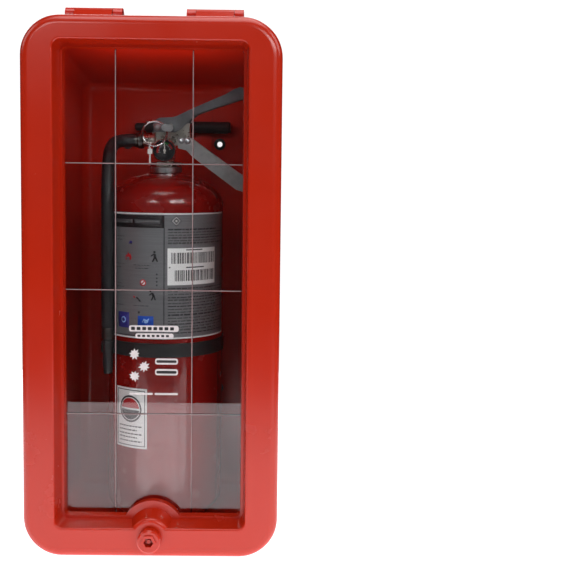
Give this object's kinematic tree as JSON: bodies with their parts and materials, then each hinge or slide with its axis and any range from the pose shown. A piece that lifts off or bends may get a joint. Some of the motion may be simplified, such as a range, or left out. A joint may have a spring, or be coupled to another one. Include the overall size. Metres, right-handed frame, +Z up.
{
  "type": "fire extinguisher in surface wall cabinet",
  "caption": "Portable dry-chemical fire extinguisher in a moulded red wall cabinet with a hinged cover, a scored clear break panel and a quarter-turn lock.",
  "frame": {"origin": "bottom centre of the whole object's box, on the plane of the cover's lower edge", "axes": "+X to the viewer's right, +Y from the front of the cover towards the wall, +Z up"},
  "size_m": [0.28, 0.26, 0.602],
  "materials": {
    "red_gloss_plastic": "smooth moulded gloss",
    "clear_panel_plastic": "clear, scored on the back",
    "black_rubber": "matte rubber",
    "foam_seal": "closed-cell foam",
    "black_plastic": "moulded satin black",
    "zinc_steel": "zinc-plated steel",
    "pressed_steel": "bright pressed steel",
    "chrome_bezel": "polished chrome",
    "plated_brass": "nickel-plated brass",
    "red_enamel": "gloss red enamel on steel",
    "dry_powder": "packed dry-chemical powder",
    "clear_lens": "clear lens",
    "white_plastic": "white plastic",
    "printed_label": "printed film label",
    "white_sticker": "white printed sticker",
    "decal_film": "printed vinyl film",
    "spring_steel": "spring wire",
    "dial_face": "printed dial",
    "needle_paint": "black needle"
  },
  "bodies": {
    "cabinet": {"cabinet_body": "red_gloss_plastic", "hinge_pins": "zinc_steel", "rim_gasket": "foam_seal", "mount_hole_grommets": "black_rubber", "breaker_bar": "black_plastic", "breaker_bar_clips": "black_plastic", "side_decal": "decal_film", "lock_keeper": "zinc_steel", "keeper_rivets": "zinc_steel"},
    "cover": {"cover_frame": "red_gloss_plastic", "clear_panel": "clear_panel_plastic", "panel_gasket": "foam_seal", "panel_clips": "black_plastic", "panel_screws": "zinc_steel", "lock_bush": "red_gloss_plastic", "lock_nut": "zinc_steel"},
    "lock": {"lock_plug": "red_gloss_plastic", "lock_cam": "zinc_steel", "lock_cam_screw": "zinc_steel", "lock_retaining_ring": "spring_steel"},
    "extinguisher": {"cylinder_shell": "red_enamel", "base_ring": "red_enamel", "powder_charge": "dry_powder", "neck_collar": "red_enamel", "siphon_tube": "white_plastic", "valve_o_ring": "black_rubber", "valve_body": "plated_brass", "stem_spring": "spring_steel", "carry_handle": "pressed_steel", "handle_rivets": "zinc_steel", "lever_pivot_pin": "zinc_steel", "gauge_case": "chrome_bezel", "gauge_dial": "dial_face", "gauge_lens": "clear_lens", "hose_nut": "plated_brass", "hose": "black_rubber", "hose_ferrule": "zinc_steel", "nozzle": "black_plastic", "strap_band": "black_plastic", "strap_buckle": "black_plastic", "nozzle_clip": "black_plastic", "instruction_label": "printed_label", "barcode_sticker": "white_sticker", "inspection_sticker": "white_sticker"},
    "lever": {"squeeze_lever": "pressed_steel"},
    "stem": {"valve_stem": "plated_brass", "stem_seal": "black_rubber"},
    "pin": {"pull_pin": "zinc_steel"},
    "ring": {"pull_ring": "zinc_steel", "tamper_seal": "white_plastic"},
    "needle": {"gauge_needle": "needle_paint"}
  },
  "joints": [
    {"name": "cover_hinge", "type": "hinge", "parent": "cabinet", "child": "cover", "pos_m": [0, -0.078, 0.594], "axis": [-1, 0, 0], "range_deg": [0, 115]},
    {"name": "lock_turn", "type": "hinge", "parent": "cover", "child": "lock", "pos_m": [0, -0.118, 0.022], "axis": [0, 1, 0], "range_deg": [0, 90]},
    {"name": "extinguisher_lift", "type": "slide", "parent": "cabinet", "child": "extinguisher", "axis": [0, 0, 1], "range_m": [0, 0.02]},
    {"name": "lever_squeeze", "type": "hinge", "parent": "extinguisher", "child": "lever", "pos_m": [-0.006, 0.007, 0.4765], "axis": [0, 1, 0], "range_deg": [0, 10], "stiffness_Nm_per_rad": 1.5, "springref_deg": -20.05},
    {"name": "stem_push", "type": "slide", "parent": "extinguisher", "child": "stem", "axis": [0, 0, -1], "range_m": [0, 0.0022], "deforming": ["stem_spring"]},
    {"name": "pin_pull", "type": "slide", "parent": "extinguisher", "child": "pin", "axis": [0, -1, 0], "range_m": [0, 0.024]},
    {"name": "ring_swing", "type": "hinge", "parent": "pin", "child": "ring", "pos_m": [0.0045, -0.0165, 0.4755], "axis": [-0.504, 0, 0.8637], "range_deg": [0, 90]},
    {"name": "needle_turn", "type": "hinge", "parent": "extinguisher", "child": "needle", "pos_m": [0.003, -0.0084, 0.449], "axis": [0, 1, 0], "range_deg": [-80, 60], "stiffness_Nm_per_rad": 0.0005}
  ],
  "couplings": [
    {"joint": "stem_push", "follows": "lever_squeeze", "m_per_rad": 0.0115}
  ]
}
